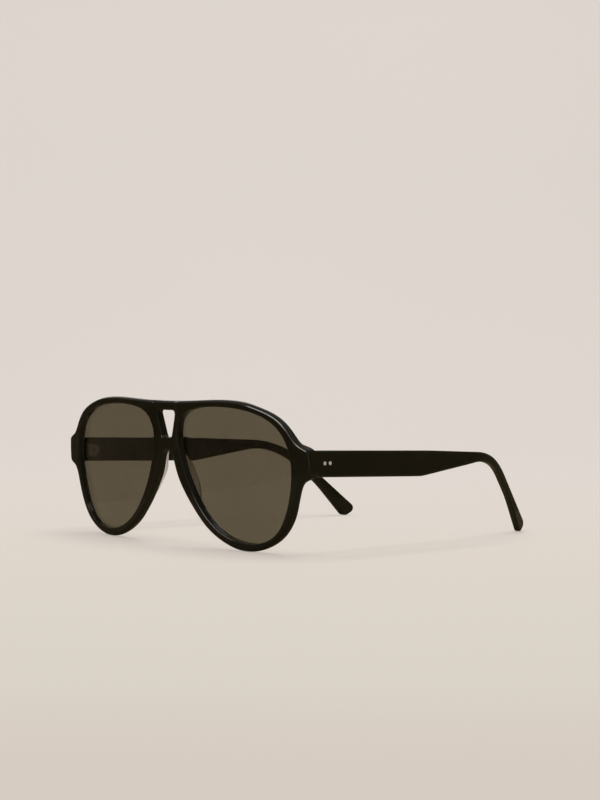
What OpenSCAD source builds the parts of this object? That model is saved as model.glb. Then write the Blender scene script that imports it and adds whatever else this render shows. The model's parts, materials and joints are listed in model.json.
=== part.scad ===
// Aviator sunglasses standing open on a table.
// +X is the wearer's left, -Y the way the lenses look, +Z up, table at z = 0.

/* [Front] */
// Overall width of the front across both endpieces
front_width = 145; // [138:0.5:152]
// Radius of the wrap, seen from above
wrap_radius = 345; // [330:1:400]
// Lean of the front, top edge forward, in degrees
front_lean = 4; // [2:0.1:5]
// Thickness of the acetate front
front_thickness = 3.7; // [3.6:0.1:4.2]

/* [Lenses] */
// Thickness of each lens
lens_thickness = 1.3; // [1.2:0.1:1.4]
// How far the lens face lies behind the front face
lens_setback = 2; // [1.6:0.1:2]
// How deep the lens edge runs into its groove
groove_depth = 0.6; // [0.4:0.1:0.8]

/* [Temples] */
// Thickness of the temple at the hinge
temple_thickness = 3.8; // [3.6:0.1:4.2]
// Thickness of the temple at its tip
tip_thickness = 3; // [2.8:0.1:3.2]
// Side of the square core wire
core_wire = 1.2; // [1:0.1:1.3]

/* [Hinges] */
// Outside radius of the hinge knuckles
knuckle_radius = 1.2; // [1.1:0.05:1.3]
// Height of the whole stack of five knuckles
knuckle_stack = 5; // [4.8:0.1:5.2]
// Radius of the hinge screw
screw_radius = 0.7; // [0.6:0.05:0.75]
// Radius of the two decorative rivets in each temple
rivet_radius = 0.7; // [0.6:0.05:0.8]

/* [Hidden] */

$fn = 48;
big_fn = 360;
black = [0.08, 0.07, 0.05];
smoke = [0.36, 0.33, 0.26];
clear = [0.9, 0.88, 0.8];
steel = [0.8, 0.8, 0.8];

// Clearances: lens in groove, pad on rim, temple end to front, knuckle to knuckle, pin in bore
lens_fit = 0.04;
pad_fit = 0.02;
seam = 0.12;
knuckle_gap = 0.1;
pin_fit = 0.03;

// The outlines below are drawn for a front 146 wide and scaled to front_width
scale_x = front_width / 146;
// The whole pair is moved forward so that the table contact is centred on the origin
forward = 71.7;
// Extrusions and cutting blocks run this far, past every piece
reach = 80;

// Front outline from the top of the bridge, round one rim, to the top of the nose gap
front_half = [
    [0, 55.3], [9.6, 55.5], [19.7, 55.9], [30.1, 56.4], [41.5, 56], [50.4, 53.8],
    [58.3, 51], [62.9, 47.2], [65.6, 43.8], [68, 40.7], [70.8, 39.1], [72.6, 38.5],
    [73.1, 37], [73.5, 33.2], [73.6, 29.4], [73.1, 28], [70.7, 27.2], [68.4, 25.5],
    [67.2, 22.3], [65.7, 16.9], [62.8, 10.4], [57.5, 4.1], [46.8, -0.4], [35.9, -0.3],
    [23.1, 5.5], [16.1, 12.2], [7.7, 22.6], [4.6, 29.7], [3.6, 35.2], [0, 37.1]
];
// Opening for one lens
lens_opening = [
    [34.9, 53.8], [19, 53.6], [7.5, 49.9], [7, 36.5], [14, 19.8], [25.7, 6.6],
    [41.3, 1.8], [57.1, 4.6], [63.8, 19.5], [65.7, 34.9], [60.8, 46.1], [49.6, 51.8]
];
// Opening in the bridge, each corner as x, height, radius
bridge_slot = [[-5.9, 51.8, 1.4], [5.9, 51.8, 1.4], [2.8, 41.3, 0.8], [-2.8, 41.3, 0.8]];
// Side view of a temple, each corner as y, z, radius
temple_side = [
    [0, 39, 0], [72, 36.7, 300], [115.1, 34.4, 38], [148.9, 3, 2.4], [144.9, 0.4, 3.5],
    [143.1, -0.4, 2], [130.9, 15, 60], [111.5, 32.6, 28], [67.8, 26.9, 25], [0, 29.2, 0]
];
// Line of the core wire in the side view, as y, z, radius
core_side = [[11, 35.6, 0], [72, 33.6, 300], [113.5, 32.4, 34], [139, 8.6, 0]];
// Outer face of a temple seen from above, as x, y, radius
temple_plan = [[70.2, 0, 0], [68.8, 104.7, 70], [50.8, 151, 0]];
// Side view of a nose pad, as y, z, radius
pad_side = [
    [-4, 36.2, 0], [3, 36.2, 2], [5.6, 31, 8], [5.9, 25, 8], [4.8, 19.4, 5], [3.6, 17.4, 1.5],
    [-4, 17.4, 0]
];
// Front view of a nose pad where it meets the rim, as x, height, radius
pad_front = [
    [4.7, 37, 0], [5.6, 30.5, 12], [14.6, 14, 0], [17, 14.6, 0], [8.1, 31, 12], [7, 37, 0]
];
// How far the pads open out towards the face, in degrees
pad_splay = 32;

back_radius = wrap_radius - front_thickness;
// The temple's blade leans in by this angle, seen from above
blade_turn = atan((temple_plan[0].x - temple_plan[1].x) / temple_plan[1].y);
// Inner face of the temple where it meets the front, and the hinge pin inside it
temple_start = 9;
inner_face = temple_plan[0].x - temple_start * tan(blade_turn) - temple_thickness;
axis_x = inner_face - knuckle_radius - 0.25;
stack_z = 33.3;
stack_low = stack_z - knuckle_stack / 2;
knuckle = knuckle_stack / 5;
axis_y = back_y(axis_x, stack_low) + knuckle_radius + 0.15;
outer_knuckles = [0, 2, 4];
inner_knuckles = [1, 3];
// Leaf of the front, set just below its back face: width, middle and depth
leaf_thickness = 0.9;
front_leaf_width = 5;
front_leaf_x = axis_x + 2.7;
leaf_sunk = 0.05;
// Leaf of the temple, let into its inner face: a tongue with a round end and a fixing hole.
// Its near corner is measured from the pin
leaf_inset = 0.6;
leaf_length = 3.1;
leaf_hole = 0.5;
leaf_at = inner_face - axis_x - leaf_thickness + leaf_inset;
leaf_from = 1.5;
// Slack between the leaves or rivets and the acetate round them
leaf_fit = 0.02;
// Two rivets, let into the outer face and just proud of it
rivets_y = [15.3, 18];
rivet_z = 33.8;
rivet_length = 2.4;
rivet_end = inner_face - axis_x + temple_thickness + 0.05;
// Slotted screw head
head_height = 0.6;
head_radius = knuckle_radius - 0.1;
slot_width = 0.3;
slot_depth = 0.3;

// ---------- curves
function unit(v) = v / norm(v);
// Closed, smooth curve steered by a ring of points
function spline(p, n) = [
    for (i = [0:len(p) - 1], k = [0:n - 1])
        let (
            t = k / n,
            a = p[i],
            b = p[(i + 1) % len(p)],
            c = p[(i + 2) % len(p)],
            d = p[(i + 3) % len(p)]
        )
        (pow(1 - t, 3) * a + (3 * pow(t, 3) - 6 * t * t + 4) * b
            + (-3 * pow(t, 3) + 3 * t * t + 3 * t + 1) * c + pow(t, 3) * d) / 6
];
// Both halves of a shape given from top middle to bottom middle
function both_halves(p) = concat(p, [for (i = [len(p) - 2:-1:1]) [-p[i].x, p[i].y]]);
// Arc that rounds the corner b between a and c
function arc(a, b, c, r, n) =
    let (
        u = unit(a - b),
        w = unit(c - b),
        half = acos(u * w) / 2,
        m = b + unit(u + w) * r / sin(half),
        p = b + u * r / tan(half) - m,
        q = b + w * r / tan(half) - m,
        from = atan2(p.y, p.x),
        turn = (atan2(q.y, q.x) - from + 540) % 360 - 180
    )
    [for (i = [0:n]) m + r * [cos(from + turn * i / n), sin(from + turn * i / n)]];
function flat(p) = [p.x, p.y];
// Line or ring of corners with their radii worked in; the two ends stay sharp
function softened(p, n) = [
    for (i = [0:len(p) - 1])
        each p[i].z > 0
            ? arc(
                flat(p[(i + len(p) - 1) % len(p)]), flat(p[i]),
                flat(p[(i + 1) % len(p)]), p[i].z, n
            )
            : [flat(p[i])]
];
// Anticlockwise ring moved outwards by d
function grown(p, d) = [
    for (i = [0:len(p) - 1])
        let (t = unit(p[(i + 1) % len(p)] - p[(i + len(p) - 1) % len(p)]))
        p[i] + d * [t.y, -t.x]
];
// Line moved sideways by an amount that runs from a to b
function beside(p, a, b) = [
    for (i = [0:len(p) - 1])
        let (
            t = unit(p[min(i + 1, len(p) - 1)] - p[max(i - 1, 0)]),
            d = a + (b - a) * i / (len(p) - 1)
        )
        p[i] + d * [-t.y, t.x]
];
function reversed(p) = [for (i = [len(p) - 1:-1:0]) p[i]];
// Arc length round the wrap turned into a straight distance from the middle
function wrapped(p) = [
    for (q = p) [wrap_radius * sin(q.x * scale_x / wrap_radius * 180 / PI), q.y]
];
// Back face of the front, straight behind a point
function back_y(x, z) =
    (wrap_radius - sqrt(pow(back_radius, 2) - x * x)) * cos(front_lean)
        - z * sin(front_lean);

// ---------- placing
module placed() {
    translate([0, -forward, 0])
        children();
}
module leaning() {
    rotate([front_lean, 0, 0])
        children();
}
module other_side() {
    mirror([1, 0, 0])
        children();
}
// A front-view outline run straight through, front to back
module through(p) {
    translate([0, reach, 0])
        rotate([90, 0, 0])
            linear_extrude(2 * reach)
                polygon(p);
}
// Everything behind the wrap surface of the given radius
module behind(r) {
    translate([0, wrap_radius, -reach])
        cylinder(r = r, h = 3 * reach, $fn = big_fn);
}
// Curved sheet between two depths behind the front face
module sheet(near, far) {
    difference() {
        behind(wrap_radius - near);
        behind(wrap_radius - far);
    }
}
// A side-view outline run across from the middle to past one side
module across(p) {
    rotate([90, 0, 90])
        linear_extrude(reach)
            polygon(p);
}
// A plan outline run straight up and down
module upright(p) {
    translate([0, 0, -reach])
        linear_extrude(2 * reach)
            polygon(p);
}

// ---------- front
opening_ring = wrapped(spline(lens_opening, 6));

module lens_blank(extra) {
    intersection() {
        through(grown(opening_ring, groove_depth + extra));
        sheet(lens_setback - extra, lens_setback + lens_thickness + extra);
    }
}
module front_leaf(extra) {
    wide = front_leaf_width + 2 * extra;
    tall = knuckle_stack + 2 * extra;
    translate([front_leaf_x, back_y(front_leaf_x, stack_z), stack_z])
        rotate([front_lean, 0, asin(front_leaf_x / back_radius)])
            translate([-wide / 2, -leaf_thickness - extra, -tall / 2])
                cube([wide, leaf_thickness + extra - leaf_sunk, tall]);
}
module front_frame() {
    color(black)
        placed()
            difference() {
                leaning()
                    difference() {
                        intersection() {
                            through(wrapped(spline(both_halves(front_half), 3)));
                            sheet(0, front_thickness);
                        }
                        through(softened(bridge_slot, 5));
                        for (side = [0, 1])
                            mirror([side, 0, 0]) {
                                through(opening_ring);
                                lens_blank(lens_fit);
                            }
                    }
                for (side = [0, 1])
                    mirror([side, 0, 0])
                        leaf_pocket();
            }
}
// Pocket for the embedded hinge leaf and its webs, open at the back
module leaf_pocket() {
    front_leaf(leaf_fit);
    translate([0, leaf_thickness / 2, 0])
        front_leaf(leaf_fit);
    front_webs(leaf_fit);
}
module lens() {
    color(smoke)
        placed()
            leaning()
                lens_blank(0);
}
module nose_pad() {
    color(clear)
        placed()
            intersection() {
                leaning()
                    behind(back_radius - pad_fit);
                across(softened(pad_side, 5));
                translate([6, 1, 0])
                    rotate([0, 0, -pad_splay])
                        translate([-6, -1, 0])
                            through(softened(pad_front, 5));
            }
}

// ---------- hinges
module knuckles(which) {
    for (i = which)
        translate([axis_x, axis_y, stack_low + i * knuckle + knuckle_gap / 2])
            cylinder(r = knuckle_radius, h = knuckle - knuckle_gap);
}
// Blocks at the given knuckles, from one corner to the other measured from the pin
module webs(which, from, to, extra) {
    grow = [extra, extra, extra];
    for (i = which)
        translate([from.x, from.y, stack_low + i * knuckle + knuckle_gap / 2] - grow)
            cube([to.x - from.x, to.y - from.y, knuckle - knuckle_gap] + 2 * grow);
}
// Webs that tie the outer knuckles to the leaf of the front
module front_webs(extra) {
    translate([axis_x, axis_y, 0])
        webs(outer_knuckles, [0.25, -knuckle_radius - 0.9], [1.05, 0], extra);
}
module pin_bore() {
    translate([axis_x, axis_y, stack_low - 1])
        cylinder(r = screw_radius + pin_fit, h = knuckle_stack + 2);
}
module front_hinge() {
    color(steel)
        placed()
            difference() {
                union() {
                    front_leaf(0);
                    knuckles(outer_knuckles);
                    front_webs(0);
                }
                pin_bore();
            }
}
module temple_hinge() {
    color(steel)
        placed()
            difference() {
                union() {
                    temple_leaf(0);
                    knuckles(inner_knuckles);
                    beside_blade()
                        webs(inner_knuckles, [0, 0.3], [leaf_at + 0.25, leaf_from + 0.2], 0);
                }
                pin_bore();
                leaf_end(leaf_hole, 0.1);
            }
}
// Frame at the pin, turned along the inner face of the temple
module beside_blade() {
    translate([axis_x, axis_y, 0])
        rotate([0, 0, blade_turn])
            children();
}
// Round disc of the leaf's thickness, centred on its round end
module leaf_end(r, extra) {
    beside_blade()
        translate([leaf_at - extra, leaf_from + leaf_length, stack_z])
            rotate([0, 90, 0])
                cylinder(r = r, h = leaf_thickness + 2 * extra);
}
module temple_leaf(extra) {
    beside_blade()
        translate([leaf_at - extra, leaf_from - extra, stack_low - extra])
            cube([leaf_thickness + 2 * extra, leaf_length + extra, knuckle_stack + 2 * extra]);
    leaf_end(knuckle_stack / 2 + extra, extra);
}
module hinge_screw() {
    color(steel)
        placed()
            translate([axis_x, axis_y, stack_low])
                difference() {
                    union() {
                        translate([0, 0, -0.1])
                            cylinder(r = screw_radius, h = knuckle_stack + 0.2);
                        translate([0, 0, knuckle_stack])
                            cylinder(r = head_radius, h = head_height);
                    }
                    translate([-reach / 2, -slot_width / 2, knuckle_stack + head_height - slot_depth])
                        cube([reach, slot_width, 2 * slot_depth]);
                }
}

// ---------- temples
module rivet_at(y, extra) {
    intersection() {
        translate([0, y, rivet_z])
            rotate([0, 90, 0])
                cylinder(r = rivet_radius + extra, h = reach);
        beside_blade()
            translate([rivet_end - rivet_length - extra, 0, 0])
                cube([rivet_length + 2 * extra, reach, reach]);
    }
}
plan_line = softened(temple_plan, 8);

module temple_blank() {
    intersection() {
        across(softened(temple_side, 6));
        upright(concat(plan_line, reversed(beside(plan_line, temple_thickness, tip_thickness))));
        leaning()
            behind(back_radius - seam);
    }
}
module core_blank(extra) {
    half = core_wire / 2 + extra;
    side_line = softened(core_side, 6);
    middle = (temple_thickness + tip_thickness) / 4;
    intersection() {
        across(concat(beside(side_line, half, half), reversed(beside(side_line, -half, -half))));
        upright(
            concat(
                beside(plan_line, middle - half, middle - half),
                reversed(beside(plan_line, middle + half, middle + half))
            )
        );
    }
}
module temple() {
    color(black)
        placed()
            difference() {
                temple_blank();
                core_blank(leaf_fit);
                temple_leaf(leaf_fit);
                for (y = rivets_y)
                    rivet_at(y, leaf_fit);
            }
}
module temple_core() {
    color(steel)
        placed()
            core_blank(0);
}
module temple_rivet(y) {
    color(steel)
        placed()
            rivet_at(y, 0);
}

front_frame();
other_side() lens();  // lens_right
lens();  // lens_left
other_side() nose_pad();  // nose_pad_right
nose_pad();  // nose_pad_left
other_side() front_hinge();  // front_hinge_right
front_hinge();  // front_hinge_left
other_side() hinge_screw();  // hinge_screw_right
hinge_screw();  // hinge_screw_left
other_side() temple();  // temple_right
temple();  // temple_left
other_side() temple_core();  // temple_core_right
temple_core();  // temple_core_left
other_side() temple_hinge();  // temple_hinge_right
temple_hinge();  // temple_hinge_left
other_side() temple_rivet(rivets_y[0]);  // temple_rivet_front_right
temple_rivet(rivets_y[0]);  // temple_rivet_front_left
other_side() temple_rivet(rivets_y[1]);  // temple_rivet_rear_right
temple_rivet(rivets_y[1]);  // temple_rivet_rear_left
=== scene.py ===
"""Aviator sunglasses standing open on a pale table.

Lengths in the drawing of the object are millimetres, as in the CAD source; Blender's are metres.
"""

import json
import math

import bpy
import numpy as np
from mathutils import Matrix, Vector
from mathutils.geometry import delaunay_2d_cdt


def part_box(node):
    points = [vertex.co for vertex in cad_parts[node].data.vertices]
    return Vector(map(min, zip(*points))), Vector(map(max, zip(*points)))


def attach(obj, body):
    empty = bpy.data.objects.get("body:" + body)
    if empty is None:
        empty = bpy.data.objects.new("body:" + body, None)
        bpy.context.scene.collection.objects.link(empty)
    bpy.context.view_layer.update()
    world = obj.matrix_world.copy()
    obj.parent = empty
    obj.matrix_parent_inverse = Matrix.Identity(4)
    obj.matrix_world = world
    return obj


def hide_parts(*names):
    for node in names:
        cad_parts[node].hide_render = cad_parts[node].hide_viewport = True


MM = 0.001

# ---------------------------------------------------------------- sizes of the object
# The front: its width, the width its outline is drawn for, wrap radius and lean
FRONT_WIDTH = 145.0
DRAWN_WIDTH = 146.0
WRAP = 345.0
LEAN = math.radians(4)
FRONT_T = 3.7
# Edge roundings of the front: outside, round the lens openings and round the slot
OUTER_FRONT_R = 1.35
OUTER_BACK_R = 1.5
OPENING_FRONT_R = 0.65
OPENING_BACK_R = 0.4
SLOT_R = 0.7
# How far the bridge lies behind the wrap of the rims
BRIDGE_DIP = 0.8
# The lenses: thickness, how far behind the front face, how deep in the groove
LENS_T = 1.3
LENS_SETBACK = 2.0
LENS_IN_GROOVE = 0.5
LENS_EDGE_R = 0.15
# The temples: thickness at the hinge and at the tip, gap to the front, start and length
TEMPLE_T = 3.8
TIP_T = 3.0
SEAM = 0.08
TEMPLE_START = 8.5
TEMPLE_RUN = 140.0
# Edge rounding of a temple where it meets the front, and what it gains beyond that
TEMPLE_END_R = 0.12
TEMPLE_MORE_R = 0.88
# The hinge pin: knuckle radius, its gap to the front, foot of the stack of knuckles
KNUCKLE_R = 1.2
KNUCKLE_GAP = 0.15
STACK_LOW = 30.8
# The rivets: radius, rim above the CAD rivet, crown above the rim, an extra ring below
# the rim that keeps its edge crisp, and the chamfer at the buried end
RIVET_R = 0.7
RIVET_PROUD = 0.02
RIVET_CROWN = 0.06
RIVET_STEP = 0.3
RIVET_CHAMFER = 0.15

# Outline points, the same as in the CAD source
FRONT_HALF = [
    (0, 55.3), (9.6, 55.5), (19.7, 55.9), (30.1, 56.4), (41.5, 56), (50.4, 53.8),
    (58.3, 51), (62.9, 47.2), (65.6, 43.8), (68, 40.7), (70.8, 39.1), (72.6, 38.5),
    (73.1, 37), (73.5, 33.2), (73.6, 29.4), (73.1, 28), (70.7, 27.2), (68.4, 25.5),
    (67.2, 22.3), (65.7, 16.9), (62.8, 10.4), (57.5, 4.1), (46.8, -0.4), (35.9, -0.3),
    (23.1, 5.5), (16.1, 12.2), (7.7, 22.6), (4.6, 29.7), (3.6, 35.2), (0, 37.1),
]
LENS_OPENING = [
    (34.9, 53.8), (19, 53.6), (7.5, 49.9), (7, 36.5), (14, 19.8), (25.7, 6.6),
    (41.3, 1.8), (57.1, 4.6), (63.8, 19.5), (65.7, 34.9), (60.8, 46.1), (49.6, 51.8),
]
# Corners as across, height, radius
BRIDGE_SLOT = [(-5.9, 51.8, 1.4), (5.9, 51.8, 1.4), (2.8, 41.3, 1.4), (-2.8, 41.3, 1.4)]
# Temple from the side, corners as distance back, height, radius
TEMPLE_SIDE = [
    (TEMPLE_START, 38.73, 0.3), (72, 36.7, 300), (115.1, 34.4, 38), (148.89, 3, 2.4),
    (144.9, 0.4, 3.5), (143.1, -0.4, 2), (130.9, 15, 60), (111.5, 32.6, 28),
    (67.8, 26.9, 25), (TEMPLE_START, 28.91, 0.3),
]
# Outer face of a temple from above, corners as across, distance back, radius
TEMPLE_PLAN = [(70.2, 0, 0), (68.8, 104.7, 70), (49.24, 155, 0)]
# Nose pad from the side, corners as distance back, height, radius
PAD_SIDE = [
    (-1.2, 36, 1.2), (2.9, 36, 2), (5.4, 31, 8), (5.7, 25, 7), (4.6, 19.6, 4), (3.4, 17.6, 1.5),
    (-1.2, 17.6, 1.2),
]
# The pads: thickness, edge rounding, how they open towards the face, and how much of the
# part that the rim hides is kept
PAD_T = 2.0
PAD_EDGE_R = 0.95
PAD_SPLAY = math.tan(math.radians(32))
PAD_SUNK = 0.3

# ---------------------------------------------------------------- sizes of the set, in metres
# Turn of the table top about the vertical, in degrees
TABLE_TURN = 47.07
# Height of a card that lies on the table
ON_TABLE = 0.0005

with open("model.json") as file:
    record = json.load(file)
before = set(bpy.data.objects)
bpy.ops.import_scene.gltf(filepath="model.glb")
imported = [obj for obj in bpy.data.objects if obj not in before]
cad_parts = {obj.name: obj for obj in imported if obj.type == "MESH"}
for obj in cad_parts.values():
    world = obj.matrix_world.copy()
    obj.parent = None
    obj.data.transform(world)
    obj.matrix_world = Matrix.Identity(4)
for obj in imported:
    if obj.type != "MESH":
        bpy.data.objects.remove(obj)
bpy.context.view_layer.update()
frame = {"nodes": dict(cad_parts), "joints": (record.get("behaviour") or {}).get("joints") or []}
joints = {j["name"]: j for j in frame["joints"]}


# ---------------------------------------------------------------- curves
def spline(ring, n):
    """Closed smooth curve steered by a ring of points."""
    p = np.array(ring, float)
    t = (np.arange(n) / n)[:, None]
    weights = [(1 - t) ** 3, 3 * t**3 - 6 * t**2 + 4, -3 * t**3 + 3 * t**2 + 3 * t + 1, t**3]
    runs = []
    for i in range(len(p)):
        four = [p[(i + k) % len(p)] for k in range(4)]
        runs.append(sum(w * q for w, q in zip(weights, four)) / 6)
    return np.vstack(runs)


def both_halves(half):
    """A ring from its right half, given from top middle to bottom middle."""
    return list(half) + [(-x, h) for x, h in half[-2:0:-1]]


def softened(corners, n):
    """Ring or line of (x, y, radius) corners with the radii worked in."""
    out = []
    for i, (x, y, r) in enumerate(corners):
        b = np.array((x, y), float)
        if r <= 0:
            out.append(b)
            continue
        a = np.array(corners[i - 1][:2], float)
        c = np.array(corners[(i + 1) % len(corners)][:2], float)
        u = (a - b) / np.linalg.norm(a - b)
        w = (c - b) / np.linalg.norm(c - b)
        half = math.acos(float(u @ w)) / 2
        m = b + (u + w) / np.linalg.norm(u + w) * r / math.sin(half)
        p = b + u * r / math.tan(half) - m
        q = b + w * r / math.tan(half) - m
        start = math.atan2(p[1], p[0])
        turn = (math.atan2(q[1], q[0]) - start + 3 * math.pi) % (2 * math.pi) - math.pi
        for k in range(n + 1):
            t = start + turn * k / n
            out.append(m + r * np.array((math.cos(t), math.sin(t))))
    return np.array(out)


def resampled(ring, step):
    """The same closed ring with its points about one step apart."""
    closed = np.vstack([ring, ring[:1]])
    run = np.concatenate([[0], np.cumsum(np.linalg.norm(np.diff(closed, axis=0), axis=1))])
    at = np.linspace(0, run[-1], max(8, int(run[-1] / step)), endpoint=False)
    return np.stack([np.interp(at, run, closed[:, k]) for k in (0, 1)], 1)


def outward(ring):
    """Unit normals pointing away from the inside of a ring."""
    t = np.roll(ring, -1, 0) - np.roll(ring, 1, 0)
    t /= np.linalg.norm(t, axis=1)[:, None]
    turn = 1.0 if area(ring) > 0 else -1.0
    return np.stack([t[:, 1], -t[:, 0]], 1) * turn


def area(ring):
    """Area of a ring, positive when it runs anticlockwise."""
    nxt = np.roll(ring, -1, 0)
    return 0.5 * float(np.sum(ring[:, 0] * nxt[:, 1] - nxt[:, 0] * ring[:, 1]))


def inside(points, rings):
    """Even-odd test of points against a set of rings."""
    hit = np.zeros(len(points), bool)
    for ring in rings:
        a, b = ring, np.roll(ring, -1, 0)
        for (ax, ay), (bx, by) in zip(a, b):
            crosses = (ay > points[:, 1]) != (by > points[:, 1])
            with np.errstate(divide="ignore", invalid="ignore"):
                x = ax + (points[:, 1] - ay) * (bx - ax) / (by - ay)
            hit ^= crosses & (points[:, 0] < x)
    return hit


# ---------------------------------------------------------------- meshes
def new_object(name, verts, faces):
    """A smooth-shaded mesh object in the scene."""
    mesh = bpy.data.meshes.new(name)
    mesh.from_pydata(verts, [], faces)
    for face in mesh.polygons:
        face.use_smooth = True
    obj = bpy.data.objects.new(name, mesh)
    bpy.context.scene.collection.objects.link(obj)
    return obj


def band(first, second, n, flip):
    """Faces between two rings of n points, given by the index of their first points."""
    quads = []
    for i in range(n):
        j = (i + 1) % n
        quad = (first + i, first + j, second + j, second + i)
        quads.append(quad[::-1] if flip else quad)
    return quads


# ---------------------------------------------------------------- mesh of a rounded plate
def filled(rings, spacing):
    """Points and triangles that fill the area between an outer ring and its holes."""
    points = np.vstack(rings)
    edges, at = [], 0
    for ring in rings:
        n = len(ring)
        edges += [(at + i, at + (i + 1) % n) for i in range(n)]
        at += n
    low, high = points.min(0), points.max(0)
    row_gap = spacing * 0.87
    columns = np.arange(low[0], high[0], spacing)
    rows = np.arange(low[1], high[1], row_gap)
    gx, gy = np.meshgrid(columns, rows)
    gx[1::2] += spacing / 2
    grid = np.stack([gx.ravel(), gy.ravel()], 1)
    grid = grid[inside(grid, rings)]
    gaps = [np.linalg.norm(grid[:, None] - ring[None], axis=2).min(1) for ring in rings]
    gap = np.min(gaps, axis=0)
    points = np.vstack([points, grid[gap > 0.6 * spacing]])
    corners = [Vector(p) for p in points]
    verts, _, faces, ids, _, _ = delaunay_2d_cdt(corners, edges, [], 0, 1e-6)
    if len(verts) != len(points):
        raise RuntimeError("two outline points fell together")
    order = np.array([i[0] for i in ids])
    tris = order[np.array(faces)]
    mid = points[tris].mean(1)
    tris = tris[inside(mid, rings)]
    a, b, c = (points[tris[:, k]] for k in range(3))
    flip = np.cross(b - a, c - a) < 0
    tris[flip] = tris[flip][:, ::-1]
    return points, tris


def plate(name, rings, thick, place, spacing=3.0, turns=6, side="left"):
    """A plate with rounded edges; side "right" builds the mirror image.

    Each ring is (points, outward normals, front radii, back radii), the outer one first.
    place(points, depth) sets points of the drawing in space.
    """
    verts, normals, faces = [], [], []

    def add(points, depth, normal):
        start = sum(len(v) for v in verts)
        verts.append(np.column_stack([points, np.broadcast_to(depth, len(points))]))
        normals.append(normal)
        return start

    edge = {}
    for sign in (-1, 1):
        which = 2 if sign < 0 else 3
        inner = [ring[0] - ring[1] * ring[which][:, None] for ring in rings]
        points, tris = filled(inner, spacing)
        level = 0 if sign < 0 else thick
        base = add(points, level, np.tile((0.0, 0.0, sign), (len(points), 1)))
        faces += [tuple(t[::-sign]) for t in (tris + base).tolist()]
        at = base
        for i, ring in enumerate(rings):
            p, n, r = ring[0], ring[1], ring[which]
            last = at
            at += len(p)
            for k in range(1, turns + 1):
                a = math.pi / 2 * k / turns
                depth = level - sign * r * (1 - math.cos(a))
                normal = np.column_stack([n * math.sin(a), np.full(len(p), sign * math.cos(a))])
                start = add(p - n * (r * (1 - math.sin(a)))[:, None], depth, normal)
                faces += band(last, start, len(p), anticlockwise(p, i) == (sign < 0))
                last = start
            edge[sign, i] = last
    for i, ring in enumerate(rings):
        faces += band(edge[-1, i], edge[1, i], len(ring[0]), anticlockwise(ring[0], i))
    v = np.vstack(verts)
    spread = place(v[:, :2], v[:, 2])
    normal = turned(v, np.vstack(normals), place)
    if side == "right":
        spread, normal = spread * (-1, 1, 1), normal * (-1, 1, 1)
        faces = [f[::-1] for f in faces]
    obj = new_object(name, (spread * MM).tolist(), faces)
    obj.data.normals_split_custom_set_from_vertices(normal.tolist())
    return obj


def anticlockwise(ring, i):
    """True for an outer ring that runs anticlockwise, or a hole that runs clockwise."""
    return (area(ring) > 0) == (i == 0)


def turned(v, normal, place):
    """Normals carried through the bending done by place."""
    h = 0.02

    def at(du, dv, dd):
        return place(v[:, :2] + (du, dv), v[:, 2] + dd)

    cols = [at(h, 0, 0) - at(-h, 0, 0), at(0, h, 0) - at(0, -h, 0), at(0, 0, h) - at(0, 0, -h)]
    jac = np.stack(cols, 2) / (2 * h)
    out = np.einsum("nij,nj->ni", np.linalg.inv(jac).transpose(0, 2, 1), normal)
    return out / np.linalg.norm(out, axis=1)[:, None]


def ringed(points, step, front_r, back_r):
    """A ring for plate(); each radius is a length or a function of the ring's points."""
    p = resampled(points, step)
    radii = [r(p) if callable(r) else np.full(len(p), r) for r in (front_r, back_r)]
    return (p, outward(p), *radii)


def hole(points, step, front_r, back_r):
    """A ring round an opening: its normals point into the opening."""
    p, n, front, back = ringed(points, step, front_r, back_r)
    return p, -n, front, back


# ---------------------------------------------------------------- placing, as in the CAD source
def smooth(t):
    """0 below 0, 1 above 1 and an even S curve between."""
    t = np.clip(t, 0, 1)
    return t * t * (3 - 2 * t)


def across(x):
    """Distance round the wrap turned into a straight distance from the middle."""
    return WRAP * np.sin(x * FRONT_WIDTH / DRAWN_WIDTH / WRAP)


def wrap_y(x, depth):
    """How far back the wrap lies at x, at a depth behind the front face."""
    return WRAP - np.sqrt((WRAP - depth) ** 2 - x**2)


def back_y(x, z):
    """The back face of the front, at x and height z."""
    return wrap_y(x, FRONT_T) * math.cos(LEAN) - z * math.sin(LEAN)


# The hinge pin's place in the frame says how far the whole pair was moved forward
PIVOT = Vector(joints["left_temple_fold"]["pos_m"]) / MM
FORWARD = float(back_y(PIVOT.x, STACK_LOW)) + KNUCKLE_R + KNUCKLE_GAP - PIVOT.y


def bridge(points):
    """1 round the slot in the bridge, fading to 0 beside and below it."""
    x, h = np.abs(points[:, 0]), points[:, 1]
    return smooth((9 - x) / 4) * smooth((h - 35) / 4)


def on_front(points, depth, start=0.0):
    """A point of the front view at a depth behind the front face."""
    x = across(points[:, 0])
    y = wrap_y(x, depth + start) + BRIDGE_DIP * bridge(points)
    h = points[:, 1]
    back = y * math.cos(LEAN) - h * math.sin(LEAN) - FORWARD
    return np.stack([x, back, h * math.cos(LEAN) + y * math.sin(LEAN)], 1)


PLAN = softened(TEMPLE_PLAN, 24)


def on_temple(points, depth):
    """A point of the temple's side view at a depth behind its outer face."""
    y, z = points[:, 0], points[:, 1]
    outer = np.interp(y, PLAN[:, 1], PLAN[:, 0])
    slope = np.gradient(PLAN[:, 0], PLAN[:, 1])
    lean = np.interp(y, PLAN[:, 1], slope)
    run = np.clip((y - TEMPLE_START) / TEMPLE_RUN, 0, 1)
    scale = (TEMPLE_T + (TIP_T - TEMPLE_T) * run) / TEMPLE_T * np.sqrt(1 + lean**2)
    x = outer - depth * scale
    end = back_y(x, z) + SEAM - TEMPLE_START
    y = y + end * (1 - smooth((y - TEMPLE_START) / 14))
    return np.stack([x, y - FORWARD, z], 1)


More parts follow.
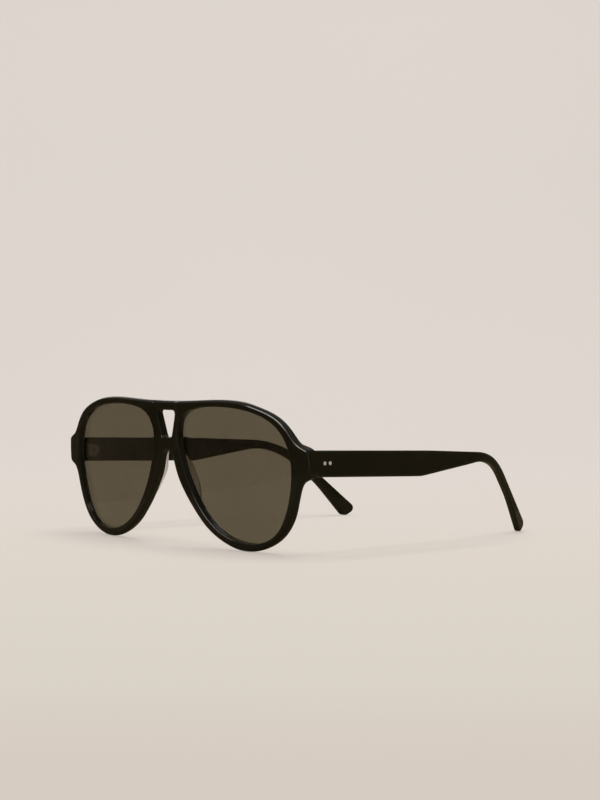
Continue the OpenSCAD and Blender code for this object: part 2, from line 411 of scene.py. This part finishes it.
# ---------------------------------------------------------------- materials
class Nodes:
    """A material's node tree with short calls for adding and linking nodes."""

    def __init__(self, name):
        self.material = bpy.data.materials.new(name)
        self.material.use_nodes = True
        self.tree = self.material.node_tree
        self.shader = self.tree.nodes["Principled BSDF"]

    def add(self, kind, **settings):
        node = self.tree.nodes.new("ShaderNode" + kind)
        for key, value in settings.items():
            setattr(node, key, value)
        return node

    def link(self, source, target):
        self.tree.links.new(source, target)

    def set(self, **values):
        for key, value in values.items():
            self.shader.inputs[key.replace("_", " ")].default_value = value

    def place(self):
        """Coordinates that move with the object."""
        return self.add("TexCoord").outputs["Object"]

    def ramp(self, source, stops):
        """A colour ramp; each stop is a place and a colour or a grey level."""
        ramp = self.add("ValToRGB")
        self.link(source, ramp.inputs[0])
        while len(ramp.color_ramp.elements) < len(stops):
            ramp.color_ramp.elements.new(0.5)
        for element, (at, colour) in zip(ramp.color_ramp.elements, stops):
            element.position = at
            element.color = (*colour, 1) if isinstance(colour, tuple) else (*[colour] * 3, 1)
        return ramp.outputs["Color"]

    def paint(self, socket, source, *stops):
        """Drives a socket of the shader from a source through a ramp."""
        self.link(self.ramp(source, stops), self.shader.inputs[socket])

    def noise(self, scale, detail, stretch=None):
        source = self.place()
        if stretch:
            mapping = self.add("Mapping")
            mapping.inputs["Scale"].default_value = stretch
            self.link(source, mapping.inputs["Vector"])
            source = mapping.outputs[0]
        noise = self.add("TexNoise")
        noise.inputs["Scale"].default_value = scale
        noise.inputs["Detail"].default_value = detail
        self.link(source, noise.inputs["Vector"])
        return noise.outputs["Fac"]

    def times(self, first, second):
        """The product of two colours."""
        mix = self.add("Mix", data_type="RGBA", blend_type="MULTIPLY")
        mix.inputs["Factor"].default_value = 1.0
        for source, name in ((first, "A_Color"), (second, "B_Color")):
            self.link(source, next(i for i in mix.inputs if i.identifier == name))
        return next(o for o in mix.outputs if o.identifier == "Result_Color")

    def bump(self, source, strength, distance):
        bump = self.add("Bump")
        bump.inputs["Strength"].default_value = strength
        bump.inputs["Distance"].default_value = distance
        self.link(source, bump.inputs["Height"])
        self.link(bump.outputs[0], self.shader.inputs["Normal"])


def acetate():
    m = Nodes("black_acetate")
    cloud, smear = m.noise(60, 2), m.noise(260, 4)
    m.paint("Base Color", cloud, (0.3, (0.009, 0.0085, 0.0045)), (0.7, (0.013, 0.012, 0.0065)))
    m.paint("Roughness", smear, (0.35, 0.05), (0.7, 0.11))
    m.bump(m.noise(420, 2), 0.05, 0.0001)
    m.set(IOR=1.49)
    return m.material


def lens_glass():
    m = Nodes("smoke_lens")
    film, smear = m.noise(45, 2), m.noise(180, 3)
    m.paint("Base Color", film, (0.3, (0.135, 0.118, 0.081)), (0.7, (0.142, 0.124, 0.086)))
    m.paint("Roughness", smear, (0.4, 0.0), (0.75, 0.03))
    m.set(IOR=1.5, Transmission_Weight=1.0)
    return m.material


def pad_acetate():
    m = Nodes("clear_pad_acetate")
    cloud, smear = m.noise(90, 2), m.noise(300, 3)
    m.paint("Base Color", cloud, (0.3, (0.93, 0.9, 0.84)), (0.7, (0.97, 0.95, 0.9)))
    m.paint("Roughness", smear, (0.4, 0.08), (0.7, 0.16))
    m.set(IOR=1.48, Transmission_Weight=0.72)
    return m.material


def metal(name, dark, light, rough, stretch, metallic=1.0):
    """A brushed metal; stretch draws its grain out, metallic below 1 keeps some body colour."""
    m = Nodes(name)
    grain = m.noise(900, 4, stretch)
    m.paint("Base Color", grain, (0.3, dark), (0.7, light))
    m.paint("Roughness", grain, (0.3, rough), (0.7, rough + 0.12))
    m.bump(grain, 0.12, 0.00002)
    m.set(Metallic=metallic)
    return m.material


def dark_reflection_card():
    m = Nodes("dark_reflection_card")
    # The flags show only in the gloss of the glasses, so this dark brown is a painted dark
    # reflection
    reflection_mottle = m.noise(200, 4)
    m.paint("Base Color", reflection_mottle, (0.3, (0.10, 0.075, 0.04)), (0.7, (0.14, 0.105, 0.055)))
    m.set(Roughness=1.0)
    return m.material


def floor_paint():
    """Warm white with painted shading, a little darker and warmer towards the viewer, and a
    painted glow that keeps the shadows light."""
    m = Nodes("pale_floor")
    turn = math.radians(TABLE_TURN)
    depth = m.add("VectorMath", operation="DOT_PRODUCT")
    depth.inputs[1].default_value = (-math.sin(turn), math.cos(turn), 1)
    m.link(m.place(), depth.inputs[0])
    span = m.add("MapRange")
    span.inputs["From Min"].default_value = -0.5
    span.inputs["From Max"].default_value = 1.75
    m.link(depth.outputs["Value"], span.inputs["Value"])
    # Painted shading: the ramp makes the floor a little darker and warmer towards the viewer
    stops = [
        (0.03, (0.677, 0.630, 0.588)), (0.06, (0.69, 0.666, 0.608)),
        (0.13, (0.694, 0.67, 0.616)), (0.18, (0.706, 0.669, 0.626)),
        (0.39, (0.703, 0.675, 0.65)), (0.62, (0.707, 0.682, 0.655)),
        (0.78, (0.711, 0.688, 0.66)), (0.89, (0.728, 0.704, 0.677)),
    ]
    painted_shade = m.ramp(span.outputs["Result"], stops)
    mottle = m.noise(3, 3)
    paint = m.times(painted_shade, m.ramp(mottle, [(0.3, 0.395), (0.7, 0.405)]))
    # Painted glow: the floor gives off light in its own colour, which keeps the shadows light
    painted_glow = m.times(painted_shade, m.ramp(mottle, [(0.3, (0.998, 0.948, 0.913)), (0.7, (1, 0.95, 0.915))]))
    m.link(paint, m.shader.inputs["Base Color"])
    m.link(painted_glow, m.shader.inputs["Emission Color"])
    m.paint("Roughness", m.noise(40, 3), (0.3, 0.7), (0.7, 0.8))
    m.set(Specular_IOR_Level=0.0, Emission_Strength=0.62)
    return m.material


# ---------------------------------------------------------------- pieces
def finish_piece(piece, body, material, node):
    """Gives a detailed piece its material and its body, and hides the CAD node it stands in for.
    """
    piece.data.materials.append(material)
    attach(piece, body)
    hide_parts(node)


def endpiece(points):
    """1 where a temple meets the back of the front."""
    x, h = np.abs(points[:, 0]), points[:, 1]
    return smooth((x - 67) / 4) * smooth((h - 26) / 3) * smooth((42 - h) / 3)


def pad_seat(points):
    """1 on the flanks of the nose gap where the pads sit."""
    x, h = np.abs(points[:, 0]), points[:, 1]
    return smooth((18 - x) / 5) * smooth((38.5 - h) / 3) * (0.3 + 0.7 * smooth((h - 22) / 6))


def outer_back(points):
    """Rounding of the outer back edge: fullest at the sides, tight at the temples and pads."""
    upper_side = smooth((np.abs(points[:, 0]) - 42) / 8) * smooth((points[:, 1] - 12) / 8)
    tight = 2.05 * endpiece(points) + 1.1 * pad_seat(points)
    return OUTER_BACK_R + 0.7 * upper_side - tight


def outer_front(points):
    """Rounding of the outer front edge, a little tighter at the temples."""
    return OUTER_FRONT_R - 0.35 * endpiece(points)


def make_front(material):
    opening = spline(LENS_OPENING, 24)
    rings = [
        ringed(spline(both_halves(FRONT_HALF), 12), 0.45, outer_front, outer_back),
        hole(softened(BRIDGE_SLOT, 8), 0.3, SLOT_R, SLOT_R),
        hole(opening, 0.45, OPENING_FRONT_R, OPENING_BACK_R),
        hole(opening * (-1, 1), 0.45, OPENING_FRONT_R, OPENING_BACK_R),
    ]
    shell = plate("front_shell", rings, FRONT_T, on_front, turns=8)
    finish_piece(shell, "front", material, "front_frame")


def make_lens(side, material):
    def place(points, depth):
        return on_front(points, depth, LENS_SETBACK)

    opening = resampled(spline(LENS_OPENING, 24), 0.6)
    edge = opening + outward(opening) * LENS_IN_GROOVE
    ring = ringed(edge, 0.6, LENS_EDGE_R, LENS_EDGE_R)
    glass = plate("lens_glass_" + side, [ring], LENS_T, place, turns=2, side=side)
    finish_piece(glass, "front", material, "lens_" + side)


def make_temple(side, material):
    def edge(points):
        return TEMPLE_END_R + TEMPLE_MORE_R * smooth((points[:, 0] - TEMPLE_START + 0.1) / 3)

    ring = ringed(softened(TEMPLE_SIDE, 16), 0.5, edge, edge)
    arm = plate("temple_arm_" + side, [ring], TEMPLE_T, on_temple, side=side)
    finish_piece(arm, side + "_temple", material, "temple_" + side)


def flank(z):
    """Half width of the nose gap at a height."""
    ring = spline(both_halves(FRONT_HALF), 12)
    part = ring[(ring[:, 0] > 0) & (ring[:, 0] < 30) & (ring[:, 1] < 38)]
    order = np.argsort(part[:, 1])
    return np.interp(z, part[order, 1], part[order, 0])


def make_pad(side, material):
    """A pad that stands behind the flank of the nose gap and opens towards the face."""

    def place(points, depth):
        y, z = points[:, 0], points[:, 1]
        start = back_y(flank(z), z)
        inset = 0.3 + 0.9 * smooth((30 - z) / 7)
        x = flank(z) + inset + np.maximum(y - start, 0) * PAD_SPLAY + (PAD_T - depth)
        y = np.where(y < start, start - PAD_SUNK * (start - y), y)
        return np.stack([x, y - FORWARD, z], 1)

    ring = ringed(softened(PAD_SIDE, 10), 0.3, PAD_EDGE_R, PAD_EDGE_R)
    pad = plate("nose_pad_clear_" + side, [ring], PAD_T, place, spacing=1.5, side=side)
    finish_piece(pad, "front", material, "nose_pad_" + side)


def make_rivet(side, which, material):
    """A flat-domed rivet head with the shank behind it."""
    low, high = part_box("temple_rivet_%s_%s" % (which, side))
    mid = (low + high) / 2
    sign = 1 if side == "left" else -1
    outer = max(abs(low.x), abs(high.x)) / MM + RIVET_PROUD
    inner = min(abs(low.x), abs(high.x)) / MM
    profile = [(0.0, outer + RIVET_CROWN)]
    for k in range(1, 9):
        a = math.pi / 2 * k / 8
        profile.append((RIVET_R * math.sin(a), outer + RIVET_CROWN * math.cos(a)))
    profile += [(RIVET_R, outer - RIVET_STEP), (RIVET_R, inner + RIVET_CHAMFER)]
    profile += [(RIVET_R - RIVET_CHAMFER, inner), (0.0, inner)]
    steps = 40
    verts, faces = [], []
    for r, x in profile:
        for k in range(steps):
            a = 2 * math.pi * k / steps
            round_y, round_z = r * MM * math.cos(a), r * MM * math.sin(a)
            verts.append((sign * x * MM, mid.y + round_y, mid.z + round_z))
    for i in range(len(profile) - 1):
        faces += band(i * steps, (i + 1) * steps, steps, sign < 0)
    rivet = new_object("rivet_%s_%s" % (which, side), verts, faces)
    weld = rivet.modifiers.new("weld", "WELD")
    weld.merge_threshold = 1e-6
    node = "temple_rivet_%s_%s" % (which, side)
    finish_piece(rivet, side + "_temple", material, node)


def finish_cad(node, material, bevel):
    """A CAD node that stays: softer edges and its own metal."""
    piece = frame["nodes"][node]
    piece.data.materials.clear()
    piece.data.materials.append(material)
    edge = piece.modifiers.new("edges", "BEVEL")
    edge.width = bevel * MM
    edge.segments = 2
    edge.limit_method = "ANGLE"
    edge.angle_limit = math.radians(40)


# ---------------------------------------------------------------- studio
def direction(azimuth, elevation):
    """Unit vector from the object, in degrees; azimuth 0 is -Y, elevation 0 is level."""
    a, e = math.radians(azimuth), math.radians(elevation)
    return Vector((math.sin(a) * math.cos(e), -math.cos(a) * math.cos(e), math.sin(e)))


def table_turn():
    return Matrix.Rotation(math.radians(TABLE_TURN), 3, "Z")


def make_camera():
    """A long lens close to table height, looking at the wearer's left front quarter."""
    cam = bpy.data.objects.new("camera", bpy.data.cameras.new("camera"))
    bpy.context.scene.collection.objects.link(cam)
    cam.data.lens = 86.03
    cam.data.clip_start = 0.05
    cam.data.clip_end = 50
    target, distance = Vector((0.00852, -0.0117, 0.05492)), 0.76943
    azimuth, elevation, roll = 47.069, 1.428, 0.269
    back = direction(azimuth, elevation)
    right = Vector((math.cos(math.radians(azimuth)), math.sin(math.radians(azimuth)), 0))
    turn = Matrix((right, back.cross(right), back)).transposed()
    turn = turn @ Matrix.Rotation(math.radians(roll), 3, "Z")
    cam.matrix_world = Matrix.Translation(target + back * distance) @ turn.to_4x4()
    bpy.context.scene.camera = cam


def make_floor(material):
    """A pale table top that sweeps up behind the glasses."""
    half_width, near, far, bend, top = 1.3, -1.0, 1.1, 0.55, 0.9
    profile = [(near, 0.0), (0.0, 0.0), (0.3, 0.0)]
    for k in range(17):
        a = math.pi / 2 * k / 16
        profile.append((far - bend + bend * math.sin(a), bend - bend * math.cos(a)))
    profile.append((far, top))
    turn = table_turn()
    verts, faces = [], []
    for y, z in profile:
        verts += [turn @ Vector((-half_width, y, z)), turn @ Vector((half_width, y, z))]
    for i in range(len(profile) - 1):
        faces.append((2 * i, 2 * i + 1, 2 * i + 3, 2 * i + 2))
    obj = new_object("table", verts, faces)
    obj.data.materials.append(material)


def make_surround(material):
    """A round wall beyond the sweep, seen only when looking from other sides."""
    inner, bend, top, below = 1.0, 0.45, 1.4, -0.002
    profile = [(inner, below)]
    for k in range(1, 11):
        a = math.pi / 2 * k / 10
        profile.append((inner + bend * math.sin(a), bend - bend * math.cos(a)))
    profile.append((inner + bend, top))
    steps = 96
    verts, faces = [], [tuple(range(steps))]
    for r, z in profile:
        for k in range(steps):
            a = 2 * math.pi * k / steps
            verts.append((r * math.cos(a), r * math.sin(a), z))
    for i in range(len(profile) - 1):
        faces += band(i * steps, (i + 1) * steps, steps, False)
    obj = new_object("surround", verts, faces)
    obj.data.materials.append(material)
    obj.visible_glossy = obj.visible_diffuse = obj.visible_shadow = False


def make_flag(name, corners, material):
    """A dark card beside the set that shows only in the gloss of the glasses."""
    turn = table_turn()
    obj = new_object(name, [turn @ Vector(c) for c in corners], [(0, 1, 2, 3)])
    obj.data.materials.append(material)
    obj.visible_camera = obj.visible_transmission = False
    obj.visible_diffuse = obj.visible_shadow = False


def upright_card(x, near, far, top):
    return [(x, near, ON_TABLE), (x, far, ON_TABLE), (x, far, top), (x, near, top)]


def level_card(half_width, half_length):
    x, y = half_width, half_length
    return [(-x, -y, ON_TABLE), (x, -y, ON_TABLE), (x, y, ON_TABLE), (-x, y, ON_TABLE)]


def make_light(name, at, towards, size, power, diffuse=True, gloss=True):
    """A warm soft box; its width runs level."""
    light = bpy.data.objects.new(name, bpy.data.lights.new(name, "AREA"))
    light.data.shape = "RECTANGLE"
    light.data.size, light.data.size_y = size
    light.data.energy = power
    light.data.color = (1.0, 0.97, 0.93)
    light.visible_diffuse, light.visible_glossy = diffuse, gloss
    bpy.context.scene.collection.objects.link(light)
    aim = (towards - at).to_track_quat("-Z", "Y").to_matrix()
    light.matrix_world = Matrix.Translation(at) @ aim.to_4x4()


def make_studio():
    paint, flag_reflection = floor_paint(), dark_reflection_card()
    make_floor(paint)
    make_surround(paint)
    # Dark cards that show only in reflections: painted dark reflections in the acetate and lenses
    make_flag("flag_left", upright_card(-0.16, -0.7, 0.5, 0.11), flag_reflection)
    make_flag("flag_right", upright_card(0.16, -0.4, 0.7, 0.25), flag_reflection)
    make_flag("flag_floor", level_card(0.16, 0.7), flag_reflection)
    # The overhead box lights the scene; the one in front only draws the line of light on
    # the rounded edges
    above = Vector((-0.12, 0.08, 1.6))
    make_light("overhead", above, Vector((-0.12, 0.08, 0)), (1.3, 1.4), 25, gloss=False)
    ahead = direction(-5, 32) * 1.5
    make_light("front_strip", ahead, Vector((0, 0, 0.04)), (1.0, 0.7), 14, diffuse=False)
    world = bpy.data.worlds.new("room")
    world.use_nodes = True
    room = world.node_tree.nodes["Background"]
    room.inputs["Color"].default_value = (1.0, 0.96, 0.92, 1)
    room.inputs["Strength"].default_value = 0.27
    bpy.context.scene.world = world
    bpy.context.scene.view_settings.view_transform = "Standard"


# ---------------------------------------------------------------- the scene
black = acetate()
smoke = lens_glass()
clear = pad_acetate()
steel = metal("satin_steel", (0.5, 0.49, 0.46), (0.66, 0.64, 0.6), 0.3, (1, 1, 14), 0.6)
bright = metal("polished_steel", (0.80, 0.78, 0.74), (0.92, 0.9, 0.86), 0.3, (1, 1, 1))
nickel = metal("satin_nickel", (0.90, 0.88, 0.84), (0.97, 0.95, 0.92), 0.45, (1, 1, 1), 0.35)

make_camera()
make_front(black)
for side in ("right", "left"):
    make_lens(side, smoke)
    make_temple(side, black)
    make_pad(side, clear)
    for which in ("front", "rear"):
        make_rivet(side, which, nickel)
    for node in ("front_hinge_", "temple_hinge_"):
        finish_cad(node + side, steel, 0.12)
    finish_cad("temple_core_" + side, steel, 0.1)
    finish_cad("hinge_screw_" + side, bright, 0.06)
make_studio()
